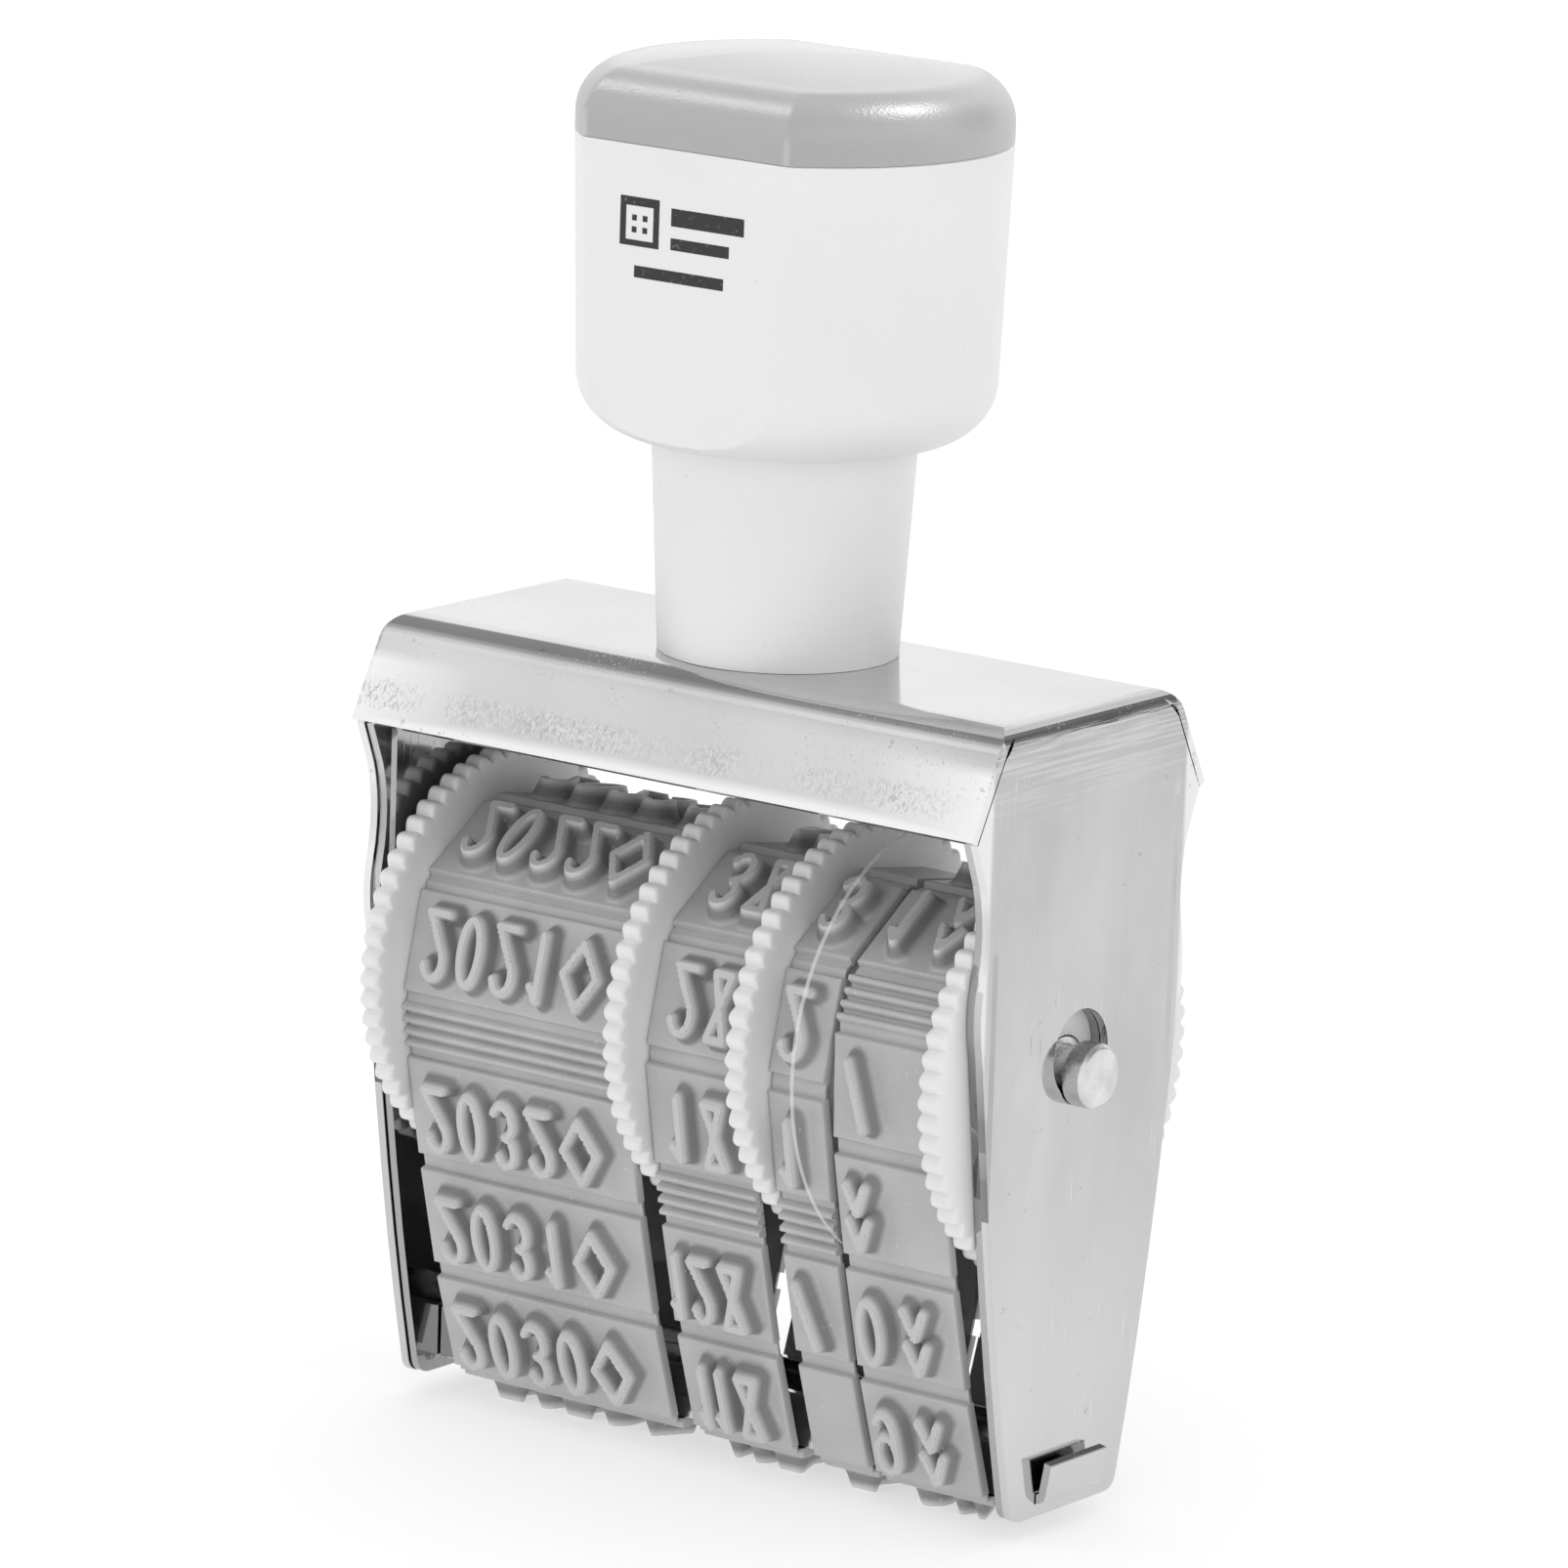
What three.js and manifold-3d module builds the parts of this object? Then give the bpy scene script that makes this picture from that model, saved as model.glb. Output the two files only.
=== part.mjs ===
// Rotary date stamp: four thumb wheels turn four type belts that run round the wheels' drums and a
// platen, inside a bent sheet-metal frame with a moulded handle on top.
// Millimetres, +Z up, X along the axle. The origin is under the middle of the print face, which is z = 0.
import * as THREE from 'three';
import { mergeVertices } from 'three/addons/utils/BufferGeometryUtils.js';
import { ConvexGeometry } from 'three/addons/geometries/ConvexGeometry.js';
import Module from 'manifold-3d';

// ---- Driving dimensions -------------------------------------------------------------------------------
const SHEET = 0.6;
const END_BEND_RADIUS = 1.6;
const FLAP_BEND_RADIUS = 2.6;
const BEND_STEPS = 8;

const COVER_HALF_WIDTH = 26.5;
const COVER_TOP_Z = 56.6;
const LEG_BOTTOM_Z = 1.4;
const FLAP_BOTTOM = { y: 13.25, z: 49.6 };
const FLAP_RUN_PER_RISE = 0.52;
const SEAM = 0.12;

const SHEET_GAP = 0.1;
const BRACKET_HALF_WIDTH = COVER_HALF_WIDTH - SHEET - SHEET_GAP;
const BRACKET_TOP_Z = COVER_TOP_Z - SHEET - SHEET_GAP;
const BRACKET_INSET = 0.2;

const AXLE_Z = 31.7;
const AXLE_RADIUS = 2.25;
const AXLE_NECK_RADIUS = 1.75;
const AXLE_HALF_LENGTH = 28.25;
const AXLE_CHAMFER = 0.3;
const AXLE_HOLE_RADIUS = 3.1;
const AXLE_HOLE_Z = AXLE_Z - AXLE_NECK_RADIUS - 0.05 + AXLE_HOLE_RADIUS;

const WHEEL_RADIUS = 14.45;
const WHEEL_THICKNESS = 1.6;
const TOOTH_COUNT = 60;
const TOOTH_DEPTH = 0.55;
const POINTS_PER_TOOTH = 3;
const DRUM_RADIUS = 10.1;
const BORE_RADIUS = 2.35;
const RUNNING_GAP = 0.1;

const SEPARATOR = { x: 13.9, thickness: 0.3, radius: 15.5 };
const SPACER = { x: -25.1, thickness: 0.6, radius: 3.6 };

const BELT_CELLS = 12;
const RIDGE_LENGTH = 3.6;
const RIDGE_COUNT = 4;
const CELL_RISE = 0.55;
const WEB_HALF = 0.2;
const GROOVE_WIDTH = 0.9;
const GROOVE_SLOPE = 0.25;
const TYPE_RELIEF = 1.5;
const TYPE_HEIGHT = 5;
const TYPE_WIDTH = 2.3;
const TYPE_DRAFT = 0.5;
const HINGE_DRUM_RADIUS = 11.3;
const HINGE_BOTTOM_Z = TYPE_RELIEF + CELL_RISE;
const HINGE_FLAT_HALF = 4.25;
const HINGE_CORNER_RADIUS = 0.3;
const SIDE_RUN_RADIUS = 200;

const PLATEN_THICKNESS = 0.7;
const PLATEN_HALF_DEPTH = 3.6;
const PLATEN_FLANGE_TOP_Z = 6;
const PLATEN_BOTTOM_Z = HINGE_BOTTOM_Z + WEB_HALF + 0.08;
const HOOK_HALF_DEPTH = 3.2;
const HOOK_TOP_Z = 5.2;
const HOOK_LEAN = 0.5;

const NECK_BASE_RADIUS = 8.25;
const NECK_TOP_RADIUS = 9.1;
const HEAD_LOW_Z = 71.4;
const HEAD_ROUND = 5.4;
const HEAD_LOW_RADIUS = 14.3;
const HEAD_SEAM_RADIUS = 14.8;
const HEAD_SEAM_Z = 92;
const HEAD_FLAT_Y = 12.1;
const HANDLE_WALL = 2;
const HANDLE_FLOOR_Z = 77;
const CAP_TOP_Z = 97.5;
const CAP_ROUND = 3.6;
const CAP_CROWN = 0.8;
const CAP_PLUG_DEPTH = 3;

const SCREW_RADIUS = 1.9;
const SCREW_HOLE_RADIUS = 2.1;
const SCREW_HEAD = { radius: 3.8, height: 2.4 };
const SCREW_TOP_Z = 71;
const WASHER = { radius: 5, thickness: 0.8 };
const WASHER_TOP_Z = BRACKET_TOP_Z - SHEET - 0.02;

// ---- Materials ----------------------------------------------------------------------------------------
const nickel = new THREE.MeshStandardMaterial({ color: 0xd4d6d8, roughness: 0.14, metalness: 1 });
const steel = new THREE.MeshStandardMaterial({ color: 0xb9bbbd, roughness: 0.3, metalness: 1 });
const whitePlastic = new THREE.MeshStandardMaterial({ color: 0xf1f1f0, roughness: 0.42, metalness: 0 });
const greyPlastic = new THREE.MeshStandardMaterial({ color: 0xa4a6a8, roughness: 0.48, metalness: 0 });
const rubber = new THREE.MeshStandardMaterial({ color: 0x8f9194, roughness: 0.75, metalness: 0 });
const clearPlastic = new THREE.MeshStandardMaterial({
  color: 0xf4f8fa, roughness: 0.08, metalness: 0, transparent: true, opacity: 0.25,
});

// ---- Solids -------------------------------------------------------------------------------------------
const wasm = await Module();
wasm.setup();

/** A closed three.js geometry as a manifold solid, turned face out if its faces point in. */
function solid(geometry) {
  const bare = geometry.clone();
  bare.deleteAttribute('normal');
  bare.deleteAttribute('uv');
  const merged = mergeVertices(bare, 1e-4);
  const build = (triVerts) => new wasm.Manifold(new wasm.Mesh({
    numProp: 3,
    vertProperties: Float32Array.from(merged.attributes.position.array),
    triVerts,
  }));
  const triangles = Uint32Array.from(merged.index.array);
  const body = build(triangles);
  return body.volume() > 0 ? body : build(triangles.reverse());
}

function join(first, ...rest) {
  return rest.reduce((sum, item) => sum.add(item), first);
}

function cut(first, ...rest) {
  return rest.reduce((left, item) => left.subtract(item), first);
}

function meshOf(name, body, material) {
  const { vertProperties, triVerts } = body.getMesh();
  const geometry = new THREE.BufferGeometry();
  geometry.setAttribute('position', new THREE.BufferAttribute(vertProperties, 3));
  geometry.setIndex(new THREE.BufferAttribute(triVerts, 1));
  geometry.computeVertexNormals();
  const mesh = new THREE.Mesh(geometry, material);
  mesh.name = name;
  return mesh;
}

/** An outline in the YZ plane, pushed along X. */
function prismX(shape, x0, x1, curveSegments = 12) {
  const geometry = new THREE.ExtrudeGeometry(shape, { depth: x1 - x0, bevelEnabled: false, curveSegments });
  const axes = new THREE.Matrix4().makeBasis(
    new THREE.Vector3(0, 1, 0), new THREE.Vector3(0, 0, 1), new THREE.Vector3(1, 0, 0));
  return solid(geometry.applyMatrix4(axes).translate(x0, 0, 0));
}

/** An outline in the XZ plane, pushed along Y from -halfDepth to +halfDepth. */
function prismY(shape, halfDepth) {
  const geometry = new THREE.ExtrudeGeometry(shape, { depth: 2 * halfDepth, bevelEnabled: false });
  return solid(geometry.rotateX(Math.PI / 2).translate(0, halfDepth, 0));
}

/** A profile of [radius, height] points, turned round the Z axis. */
function turnZ(profile, segments = 48) {
  const points = profile.map(([radius, height]) => new THREE.Vector2(radius, height));
  return solid(new THREE.LatheGeometry(points, segments).rotateX(Math.PI / 2));
}

/** A profile of [radius, x] points, turned round the X axis. */
function turnX(profile, segments = 32) {
  const points = profile.map(([radius, x]) => new THREE.Vector2(radius, x));
  return solid(new THREE.LatheGeometry(points, segments).rotateZ(-Math.PI / 2));
}

function cylinderX(radius, x0, x1, segments = 32) {
  return turnX([[0, x0], [radius, x0], [radius, x1], [0, x1]], segments);
}

function cylinderZ(radius, z0, z1, segments = 32) {
  return turnZ([[0, z0], [radius, z0], [radius, z1], [0, z1]], segments);
}

function box(x0, x1, y0, y1, z0, z1) {
  const geometry = new THREE.BoxGeometry(x1 - x0, y1 - y0, z1 - z0);
  return solid(geometry.translate((x0 + x1) / 2, (y0 + y1) / 2, (z0 + z1) / 2));
}

// ---- Outlines -----------------------------------------------------------------------------------------
/** A polyline whose inner corners are rounded to the given radius, as points. */
function rounded(corners, radius, steps = BEND_STEPS) {
  const points = [corners[0]];
  for (let i = 1; i < corners.length - 1; i += 1) {
    const before = corners[i - 1].clone().sub(corners[i]).normalize();
    const after = corners[i + 1].clone().sub(corners[i]).normalize();
    const half = before.angleTo(after) / 2;
    const centre = corners[i].clone().add(
      before.clone().add(after).normalize().multiplyScalar(radius / Math.sin(half)));
    const start = corners[i].clone().addScaledVector(before, radius / Math.tan(half)).sub(centre);
    const end = corners[i].clone().addScaledVector(after, radius / Math.tan(half)).sub(centre);
    const turn = Math.sign(start.x * end.y - start.y * end.x) * start.angleTo(end);
    for (let step = 0; step <= steps; step += 1) {
      points.push(start.clone().rotateAround(new THREE.Vector2(), turn * step / steps).add(centre));
    }
  }
  points.push(corners[corners.length - 1]);
  return points;
}

/** A bent strip of sheet: the line is its outer face, and the thickness is laid on its right-hand side. */
function strip(line, thickness) {
  const inner = line.map((point, i) => {
    const directions = [];
    if (i > 0) directions.push(point.clone().sub(line[i - 1]).normalize());
    if (i < line.length - 1) directions.push(line[i + 1].clone().sub(point).normalize());
    const along = directions[0].clone().add(directions[directions.length - 1]).normalize();
    const shift = thickness / along.dot(directions[0]);
    return new THREE.Vector2(point.x + along.y * shift, point.y - along.x * shift);
  });
  return new THREE.Shape([...line, ...inner.reverse()]);
}

function mirrored(points) {
  return points.map((point) => new THREE.Vector2(-point.x, point.y)).reverse();
}

/** The flap's outer face, as y at the height z. */
function flapY(z) {
  return FLAP_BOTTOM.y - (z - FLAP_BOTTOM.z) * FLAP_RUN_PER_RISE;
}

/** The leg's outline in the YZ plane: foot, bulge beside the axle, waist, and shoulders under the flaps. */
function legShape(inset, topZ) {
  const underFlap = SHEET * Math.hypot(1, FLAP_RUN_PER_RISE) + SEAM + inset;
  const footHalf = 5.95 - inset;
  const footRound = 1.2;
  const shoulderZ = FLAP_BOTTOM.z - SHEET * 0.6;
  const topChamfer = 2;
  const half = new THREE.Path();
  half.moveTo(footHalf - footRound, LEG_BOTTOM_Z);
  half.quadraticCurveTo(footHalf, LEG_BOTTOM_Z, footHalf + 0.2, LEG_BOTTOM_Z + footRound);
  half.quadraticCurveTo(9.2 - inset, 16, 11.2 - inset, 34.6);
  half.quadraticCurveTo(11.8 - inset, 37.2, 11.3 - inset, 39.4);
  half.quadraticCurveTo(10.5 - inset, 43.2, 11.5 - inset, 46.4);
  half.lineTo(flapY(shoulderZ) - underFlap, shoulderZ);
  half.lineTo(flapY(topZ - topChamfer) - underFlap, topZ - topChamfer);
  half.lineTo(flapY(topZ - topChamfer) - underFlap - topChamfer, topZ);
  const right = half.getPoints(6);
  return new THREE.Shape([...right, ...mirrored(right)]);
}

// ---- Frame --------------------------------------------------------------------------------------------
function uShape(halfWidth, topZ) {
  const corners = [
    new THREE.Vector2(-halfWidth, 0),
    new THREE.Vector2(-halfWidth, topZ),
    new THREE.Vector2(halfWidth, topZ),
    new THREE.Vector2(halfWidth, 0),
  ];
  return strip(rounded(corners, END_BEND_RADIUS), SHEET);
}

function hookSlot() {
  return box(-30, 30, -HOOK_HALF_DEPTH - 0.1, HOOK_HALF_DEPTH + 0.1,
    PLATEN_BOTTOM_Z - 0.05, PLATEN_BOTTOM_Z + PLATEN_THICKNESS + 0.05);
}

function frameHoles() {
  return [
    cylinderX(AXLE_HOLE_RADIUS, -30, 30, 40).translate(0, 0, AXLE_HOLE_Z),
    cylinderZ(SCREW_HOLE_RADIUS + 0.2, COVER_TOP_Z - 5, COVER_TOP_Z + 5),
    hookSlot(),
  ];
}

function outerCover() {
  const width = COVER_HALF_WIDTH;
  const depth = FLAP_BOTTOM.y + 2;
  const legOutline = prismX(legShape(0, COVER_TOP_Z), -width, width);
  const legs = prismY(uShape(width, COVER_TOP_Z), depth).intersect(legOutline);
  const roofCorners = [
    new THREE.Vector2(-FLAP_BOTTOM.y, FLAP_BOTTOM.z),
    new THREE.Vector2(-flapY(COVER_TOP_Z), COVER_TOP_Z),
    new THREE.Vector2(flapY(COVER_TOP_Z), COVER_TOP_Z),
    new THREE.Vector2(FLAP_BOTTOM.y, FLAP_BOTTOM.z),
  ];
  const roof = prismX(strip(rounded(roofCorners, FLAP_BEND_RADIUS), SHEET), -width, width);
  const envelopeCorners = [
    new THREE.Vector2(0, 0),
    new THREE.Vector2(-width, 0),
    new THREE.Vector2(-width, COVER_TOP_Z),
    new THREE.Vector2(width, COVER_TOP_Z),
    new THREE.Vector2(width, 0),
    new THREE.Vector2(0, 0),
  ];
  const envelope = prismY(new THREE.Shape(rounded(envelopeCorners, END_BEND_RADIUS)), depth);
  return cut(join(legs, roof.intersect(envelope)), ...frameHoles());
}

function innerBracket() {
  const width = BRACKET_HALF_WIDTH;
  const legs = prismX(legShape(BRACKET_INSET, BRACKET_TOP_Z), -width, width);
  return cut(prismY(uShape(width, BRACKET_TOP_Z), FLAP_BOTTOM.y).intersect(legs), ...frameHoles());
}

/** The strip that the belts run under: a channel between the legs, with an end hook outside each leg. */
function platen() {
  const z0 = PLATEN_BOTTOM_Z;
  const z1 = z0 + PLATEN_THICKNESS;
  const hookX = COVER_HALF_WIDTH + 0.1 + PLATEN_THICKNESS;
  const insideX = BRACKET_HALF_WIDTH - SHEET - RUNNING_GAP;
  const outline = [
    new THREE.Vector2(hookX + HOOK_LEAN, HOOK_TOP_Z),
    new THREE.Vector2(hookX, z0),
    new THREE.Vector2(-hookX, z0),
    new THREE.Vector2(-hookX - HOOK_LEAN, HOOK_TOP_Z),
  ];
  const hooks = prismY(strip(rounded(outline, PLATEN_THICKNESS + 0.1), PLATEN_THICKNESS), HOOK_HALF_DEPTH);
  const web = box(-insideX, insideX, -PLATEN_HALF_DEPTH, PLATEN_HALF_DEPTH, z0, z1);
  const flange = (side) => box(-insideX, insideX,
    side * PLATEN_HALF_DEPTH - (side > 0 ? PLATEN_THICKNESS : 0),
    side * PLATEN_HALF_DEPTH + (side > 0 ? 0 : PLATEN_THICKNESS), z0, PLATEN_FLANGE_TOP_Z);
  return join(hooks, web, flange(-1), flange(1));
}

// ---- Axle, wheels and separator, about the axle's own centre ------------------------------------------
function axle() {
  const end = AXLE_HALF_LENGTH;
  const neckOuter = COVER_HALF_WIDTH + RUNNING_GAP;
  const neckInner = BRACKET_HALF_WIDTH - SHEET - RUNNING_GAP;
  const half = [
    [AXLE_RADIUS, neckInner],
    [AXLE_NECK_RADIUS, neckInner],
    [AXLE_NECK_RADIUS, neckOuter],
    [AXLE_RADIUS, neckOuter],
    [AXLE_RADIUS, end - AXLE_CHAMFER],
    [AXLE_RADIUS - AXLE_CHAMFER, end],
    [0, end],
  ];
  const left = half.map(([radius, x]) => [radius, -x]).reverse();
  return turnX([...left, ...half], 36);
}

function toothedShape() {
  const count = TOOTH_COUNT * POINTS_PER_TOOTH;
  const points = [];
  for (let i = 0; i < count; i += 1) {
    const angle = 2 * Math.PI * i / count;
    const radius = WHEEL_RADIUS - (i % POINTS_PER_TOOTH === 0 ? TOOTH_DEPTH : 0);
    points.push(new THREE.Vector2(radius * Math.cos(angle), radius * Math.sin(angle)));
  }
  return new THREE.Shape(points);
}

/** A thumb wheel: a toothed disc at discX, moulded in one with the drum that reaches drumX beside it. */
function thumbWheel(discX, drumX) {
  const disc = prismX(toothedShape(), discX, discX + WHEEL_THICKNESS);
  const drumFrom = Math.min(discX + 0.1, drumX);
  const drumTo = Math.max(discX + WHEEL_THICKNESS - 0.1, drumX);
  const drum = cylinderX(DRUM_RADIUS, drumFrom, drumTo, 48);
  return cut(join(disc, drum), cylinderX(BORE_RADIUS, -30, 30));
}

/** A flat ring on the axle. */
function axleRing({ x, thickness, radius }, segments) {
  return cut(cylinderX(radius, x, x + thickness, segments), cylinderX(BORE_RADIUS, -30, 30));
}

// ---- Belts --------------------------------------------------------------------------------------------
/** The line that a belt's grooves lie on, from the middle of the print face, up the front and round. */
function beltLoop() {
  const drum = new THREE.Vector2(0, AXLE_Z);
  const corner = new THREE.Vector2(-HINGE_FLAT_HALF, HINGE_BOTTOM_Z + HINGE_CORNER_RADIUS);
  const toDrum = SIDE_RUN_RADIUS - HINGE_DRUM_RADIUS;
  const toCorner = SIDE_RUN_RADIUS - HINGE_CORNER_RADIUS;
  const between = corner.distanceTo(drum);
  const along = (toCorner ** 2 - toDrum ** 2 + between ** 2) / (2 * between);
  const across = Math.sqrt(toCorner ** 2 - along ** 2);
  const direction = drum.clone().sub(corner).divideScalar(between);
  const side = new THREE.Vector2(direction.y, -direction.x);
  const centre = corner.clone().addScaledVector(direction, along).addScaledVector(side, across);
  const lowAngle = corner.clone().sub(centre).angle();
  const highAngle = drum.clone().sub(centre).angle();
  const path = new THREE.Path();
  path.moveTo(0, HINGE_BOTTOM_Z);
  path.lineTo(corner.x, HINGE_BOTTOM_Z);
  path.absarc(corner.x, corner.y, HINGE_CORNER_RADIUS, 1.5 * Math.PI, lowAngle, true);
  path.absarc(centre.x, centre.y, SIDE_RUN_RADIUS, lowAngle, highAngle, true);
  path.absarc(0, AXLE_Z, HINGE_DRUM_RADIUS, highAngle, Math.PI - highAngle, true);
  path.absarc(-centre.x, centre.y, SIDE_RUN_RADIUS, Math.PI - highAngle, Math.PI - lowAngle, true);
  path.absarc(-corner.x, corner.y, HINGE_CORNER_RADIUS, Math.PI - lowAngle, -0.5 * Math.PI, true);
  path.lineTo(0, HINGE_BOTTOM_Z);
  return path;
}

/** The belt's links in order from the bottom one, with their ends a and b, directions and normals. */
function beltLinks(ridgeAfter) {
  const loop = beltLoop();
  const length = loop.getLength();
  const pitch = (length - RIDGE_LENGTH) / BELT_CELLS;
  const at = (s) => loop.getPointAt(THREE.MathUtils.euclideanModulo(s / length, 1));
  const links = [];
  let s = -pitch / 2;
  for (let i = 0; i <= BELT_CELLS; i += 1) {
    const ridged = i === ridgeAfter;
    const next = s + (ridged ? RIDGE_LENGTH : pitch);
    const a = at(s);
    const b = at(next);
    const along = b.clone().sub(a).normalize();
    const out = new THREE.Vector2(-along.y, along.x);
    links.push({ a, b, along, out, ridged, size: a.distanceTo(b) });
    s = next;
  }
  return links;
}

/** A belt's section: flat type cells between shallow grooves, one ridged stretch, and a smooth inside. */
function beltShape(links) {
  const outline = [];
  const hole = [];
  for (let i = 0; i < links.length; i += 1) {
    const link = links[i];
    const put = (s, rise) => outline.push(
      link.a.clone().addScaledVector(link.along, s).addScaledVector(link.out, rise));
    if (link.ridged) {
      const step = link.size / RIDGE_COUNT;
      for (let ridge = 0; ridge < RIDGE_COUNT; ridge += 1) {
        put((ridge + 0.16) * step, WEB_HALF);
        put((ridge + 0.3) * step, CELL_RISE);
        put((ridge + 0.7) * step, CELL_RISE);
        put((ridge + 0.84) * step, WEB_HALF);
      }
    } else {
      const edge = GROOVE_WIDTH / 2;
      put(edge, WEB_HALF);
      put(edge + GROOVE_SLOPE, CELL_RISE);
      put(link.size - edge - GROOVE_SLOPE, CELL_RISE);
      put(link.size - edge, WEB_HALF);
    }
    const previous = links[(i + links.length - 1) % links.length];
    const middle = link.out.clone().add(previous.out).normalize();
    hole.push(link.a.clone().addScaledVector(middle, -WEB_HALF / middle.dot(link.out)));
  }
  const shape = new THREE.Shape(outline);
  shape.holes.push(new THREE.Path(hole.reverse()));
  return shape;
}

/** One raised type block on a link: tapered from its foot to its print face. */
function typeBlock(link, x) {
  const halfWidth = TYPE_WIDTH / 2;
  const halfHeight = TYPE_HEIGHT / 2;
  const points = [];
  const middle = link.a.clone().add(link.b).multiplyScalar(0.5);
  for (const [rise, grow] of [[CELL_RISE - 0.1, TYPE_DRAFT], [CELL_RISE + TYPE_RELIEF, 0]]) {
    for (const across of [-1, 1]) {
      for (const up of [-1, 1]) {
        const point = middle.clone()
          .addScaledVector(link.along, up * (halfHeight + grow))
          .addScaledVector(link.out, rise);
        points.push(new THREE.Vector3(x + across * (halfWidth + grow), point.x, point.y));
      }
    }
  }
  return solid(new ConvexGeometry(points));
}

/** A type belt between x0 and x1, with type blocks at the given places on all links but the plain ones. */
function typeBelt({ x0, x1, ridgeAfter, blocks, plain }) {
  const links = beltLinks(ridgeAfter);
  const parts = [];
  links.forEach((link, i) => {
    if (link.ridged || plain.includes(i)) return;
    blocks.forEach((x) => parts.push(typeBlock(link, x)));
  });
  return join(prismX(beltShape(links), x0, x1), ...parts);
}

// ---- Handle -------------------------------------------------------------------------------------------
/** Points of a quarter round from [r0, z0] to [r1, z1] that leaves the first point level or upright. */
function quarter([r0, z0], [r1, z1], levelFirst, steps = 6) {
  const points = [];
  for (let step = 0; step <= steps; step += 1) {
    const angle = Math.PI / 2 * step / steps;
    const across = levelFirst ? Math.sin(angle) : 1 - Math.cos(angle);
    const up = levelFirst ? 1 - Math.cos(angle) : Math.sin(angle);
    points.push([r0 + (r1 - r0) * across, z0 + (z1 - z0) * up]);
  }
  return points;
}

/** A slab across the handle, |y| <= half, that trims a round section to its two flats. */
function flats(half, z0, z1, topRound = 0) {
  if (topRound === 0) return box(-30, 30, -half, half, z0, z1);
  const right = quarter([half, z1 - topRound], [half - topRound, z1], false)
    .map(([y, z]) => new THREE.Vector2(y, z));
  right.unshift(new THREE.Vector2(half, z0));
  return prismX(new THREE.Shape([...right, ...mirrored(right)]), -30, 30);
}

function handleBody() {
  const outside = turnZ([
    [0, COVER_TOP_Z],
    [NECK_BASE_RADIUS, COVER_TOP_Z],
    [NECK_TOP_RADIUS, HEAD_LOW_Z],
    ...quarter([NECK_TOP_RADIUS + 0.4, HEAD_LOW_Z], [HEAD_LOW_RADIUS, HEAD_LOW_Z + HEAD_ROUND], true),
    [HEAD_SEAM_RADIUS, HEAD_SEAM_Z],
    [0, HEAD_SEAM_Z],
  ], 64);
  const inside = turnZ([
    [0, HANDLE_FLOOR_Z],
    [HEAD_LOW_RADIUS - HANDLE_WALL - 1, HANDLE_FLOOR_Z],
    [HEAD_LOW_RADIUS - HANDLE_WALL, HANDLE_FLOOR_Z + 1],
    [HEAD_SEAM_RADIUS - HANDLE_WALL, HEAD_SEAM_Z + 1],
    [0, HEAD_SEAM_Z + 1],
  ], 64);
  return cut(
    outside.intersect(flats(HEAD_FLAT_Y, COVER_TOP_Z - 1, HEAD_SEAM_Z + 1)),
    inside.intersect(flats(HEAD_FLAT_Y - HANDLE_WALL, HANDLE_FLOOR_Z - 1, HEAD_SEAM_Z + 2)),
    cylinderZ(SCREW_HOLE_RADIUS, COVER_TOP_Z - 1, SCREW_TOP_Z + 0.5));
}

function handleCap() {
  const seamZ = HEAD_SEAM_Z + RUNNING_GAP;
  const plugRadius = HEAD_SEAM_RADIUS - HANDLE_WALL - RUNNING_GAP - 0.1;
  const crownEdge = [HEAD_SEAM_RADIUS - CAP_ROUND, CAP_TOP_Z - CAP_CROWN];
  const dome = turnZ([
    [0, seamZ],
    [HEAD_SEAM_RADIUS, seamZ],
    ...quarter([HEAD_SEAM_RADIUS, crownEdge[1] - CAP_ROUND], crownEdge, false),
    ...[0.7, 0.4, 0].map((share) => [crownEdge[0] * share, CAP_TOP_Z - CAP_CROWN * share ** 2]),
  ], 64).intersect(flats(HEAD_FLAT_Y, seamZ - 1, CAP_TOP_Z, CAP_ROUND + CAP_CROWN / 2));
  const plugFlat = HEAD_FLAT_Y - HANDLE_WALL - RUNNING_GAP;
  const plug = cylinderZ(plugRadius, seamZ - CAP_PLUG_DEPTH, seamZ + 0.5, 64)
    .intersect(flats(plugFlat, seamZ - CAP_PLUG_DEPTH - 1, seamZ + 1));
  const hollow = cylinderZ(plugRadius - HANDLE_WALL, seamZ - CAP_PLUG_DEPTH - 1, CAP_TOP_Z - HANDLE_WALL, 64)
    .intersect(flats(plugFlat - HANDLE_WALL, seamZ - CAP_PLUG_DEPTH - 2, CAP_TOP_Z));
  return cut(join(dome, plug), hollow);
}

/** The screw that clamps bracket, cover and handle together, driven from inside the bracket. */
function handleScrew() {
  const headTop = WASHER_TOP_Z - WASHER.thickness - 0.02;
  const headLow = headTop - SCREW_HEAD.height;
  const body = turnZ([
    [0, headLow],
    ...quarter([SCREW_HEAD.radius - 1.2, headLow], [SCREW_HEAD.radius, headLow + 1.2], true, 4),
    [SCREW_HEAD.radius, headTop],
    [SCREW_RADIUS, headTop],
    [SCREW_RADIUS, SCREW_TOP_Z - 2],
    [SCREW_RADIUS - 1.2, SCREW_TOP_Z],
    [0, SCREW_TOP_Z],
  ], 32);
  const driveHalf = 0.45;
  const driveDepth = 1.3;
  const driveReach = 2.2;
  return cut(body,
    box(-driveReach, driveReach, -driveHalf, driveHalf, headLow - 1, headLow + driveDepth),
    box(-driveHalf, driveHalf, -driveReach, driveReach, headLow - 1, headLow + driveDepth));
}

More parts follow.
